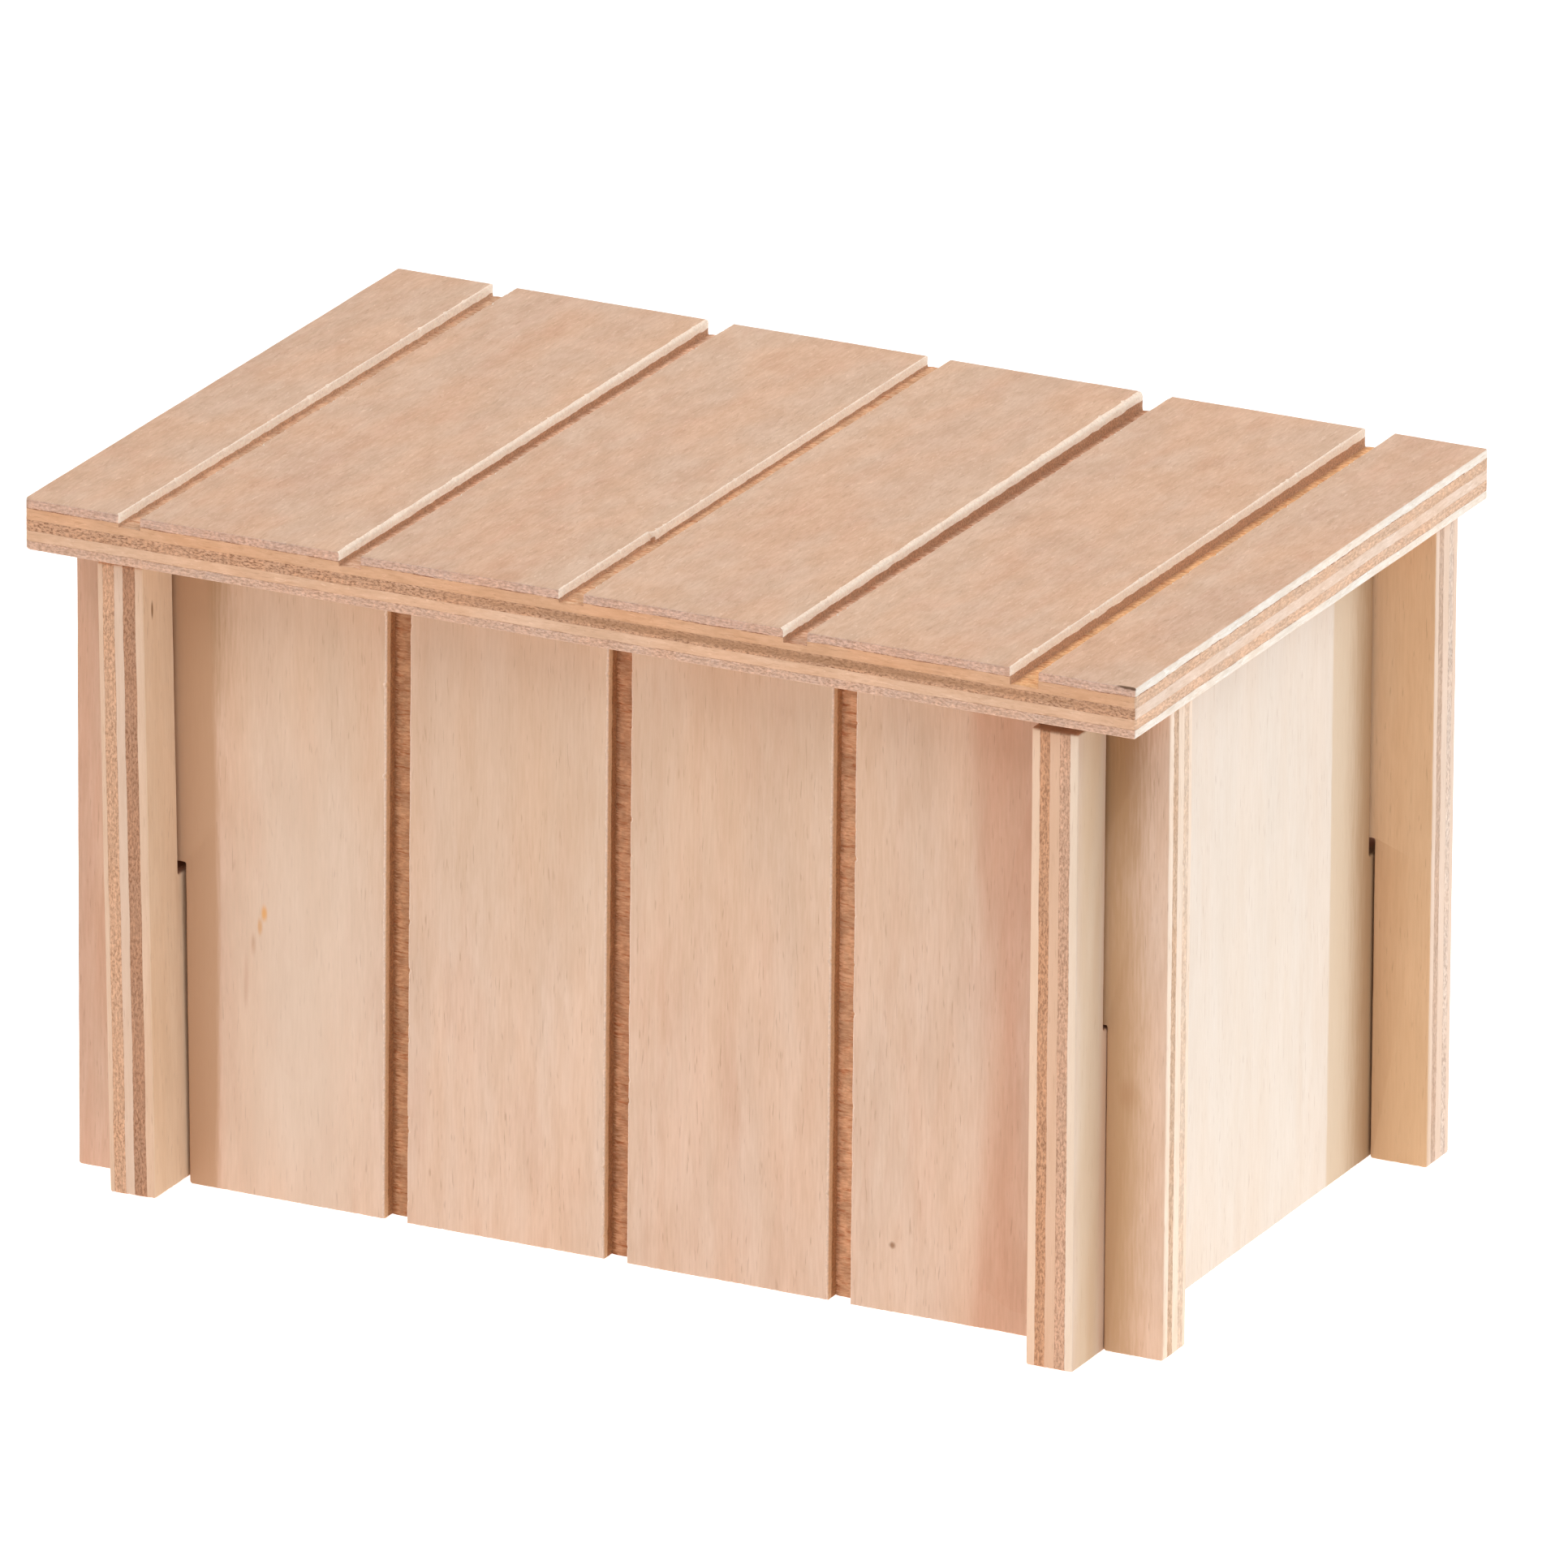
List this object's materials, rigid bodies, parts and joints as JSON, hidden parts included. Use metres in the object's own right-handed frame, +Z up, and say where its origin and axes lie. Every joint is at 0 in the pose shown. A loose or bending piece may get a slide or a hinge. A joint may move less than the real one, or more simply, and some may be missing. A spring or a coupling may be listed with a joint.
{
  "type": "wooden rodent house",
  "caption": "Small plywood rodent house of walls slotted together at the corners, with planked faces, an arched rear doorway and a flat roof plate that lifts off.",
  "frame": {"origin": "on the floor, at the middle of the footprint of the whole house, roof overhang included", "axes": "+X along the long walls, to the right as seen from the front; +Y from the front wall to the rear wall; +Z up"},
  "size_m": [0.15, 0.1014, 0.09],
  "materials": {
    "front_wall_veneer": "bare sanded plywood, vertical grain",
    "rear_wall_veneer": "bare sanded plywood, vertical grain",
    "left_wall_veneer": "bare sanded plywood, vertical grain",
    "right_wall_veneer": "bare sanded plywood, pale, vertical grain",
    "roof_veneer": "bare sanded plywood, grain from front to rear",
    "batten_veneer": "bare sanded plywood"
  },
  "bodies": {
    "side_walls": {"left_wall": "left_wall_veneer", "right_wall": "right_wall_veneer"},
    "long_walls": {"front_wall": "front_wall_veneer", "rear_wall": "rear_wall_veneer"},
    "roof": {"roof_plate": "roof_veneer", "left_roof_batten": "batten_veneer", "right_roof_batten": "batten_veneer"}
  },
  "joints": [
    {"name": "long_walls_lift", "type": "slide", "parent": "side_walls", "child": "long_walls", "axis": [0, 0, 1], "range_m": [0, 0.09]},
    {"name": "roof_lift", "type": "slide", "parent": "long_walls", "child": "roof", "axis": [0, 0, 1], "range_m": [0, 0.1]}
  ]
}
